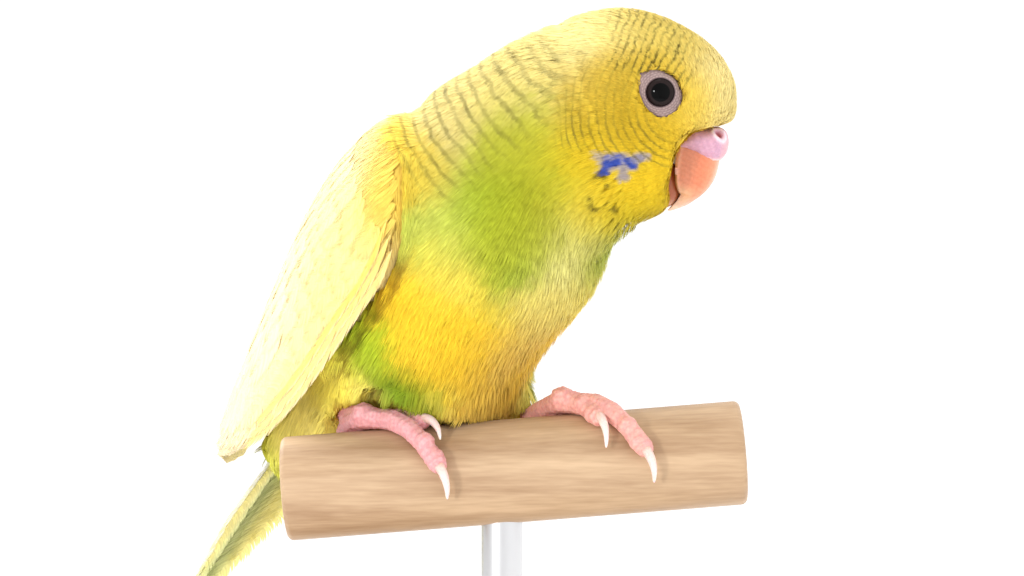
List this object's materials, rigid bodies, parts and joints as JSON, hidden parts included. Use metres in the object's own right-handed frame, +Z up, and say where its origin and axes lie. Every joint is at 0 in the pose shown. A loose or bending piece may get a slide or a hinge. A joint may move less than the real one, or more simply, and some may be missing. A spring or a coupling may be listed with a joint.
{
  "type": "budgerigar",
  "caption": "Life-size still model of a young yellow and green budgerigar gripping a short round perch on a plain T-shaped display stand.",
  "frame": {"origin": "middle of the round base's flat underside, on the surface that the stand rests on", "axes": "+Z up; +X along the perch, the way the bill points; the breast is turned to -Y"},
  "size_m": [0.1189, 0.1233, 0.1476],
  "materials": {
    "head_plumage": "fine short feathers, golden yellow with dark wavy bars and a violet-blue cheek patch",
    "neck_plumage": "soft feathers, pale yellow with grey-brown wavy bars",
    "body_plumage": "soft hair-like feathers, lime green running into golden yellow",
    "wing_feathers": "smooth vanes, cream yellow with pale mauve-grey edges",
    "tail_feathers": "smooth long vanes, pale yellow",
    "eye": "wet gloss, black",
    "cere": "waxy bare skin, pink-lilac",
    "bill": "polished translucent horn, peach orange",
    "foot_skin": "finely scaled bare skin, pink",
    "claw": "translucent horn, cream pink",
    "base_wood": "satin varnished turned wood",
    "perch_wood": "smooth pale dowel, oiled",
    "rod_steel": "brushed"
  },
  "bodies": {
    "root": {"head": "head_plumage", "neck": "neck_plumage", "trunk": "body_plumage", "thigh_left": "body_plumage", "thigh_right": "body_plumage", "wing_left": "wing_feathers", "wing_right": "wing_feathers", "tail": "tail_feathers", "eye_left": "eye", "eye_right": "eye", "cere": "cere", "bill_upper": "bill", "bill_lower": "bill", "foot_left": "foot_skin", "foot_right": "foot_skin", "stand_base": "base_wood", "stand_perch": "perch_wood", "stand_rod": "rod_steel", "claw_left_first": "claw", "claw_left_second": "claw", "claw_left_third": "claw", "claw_left_fourth": "claw", "claw_right_first": "claw", "claw_right_second": "claw", "claw_right_third": "claw", "claw_right_fourth": "claw"}
  },
  "joints": []
}
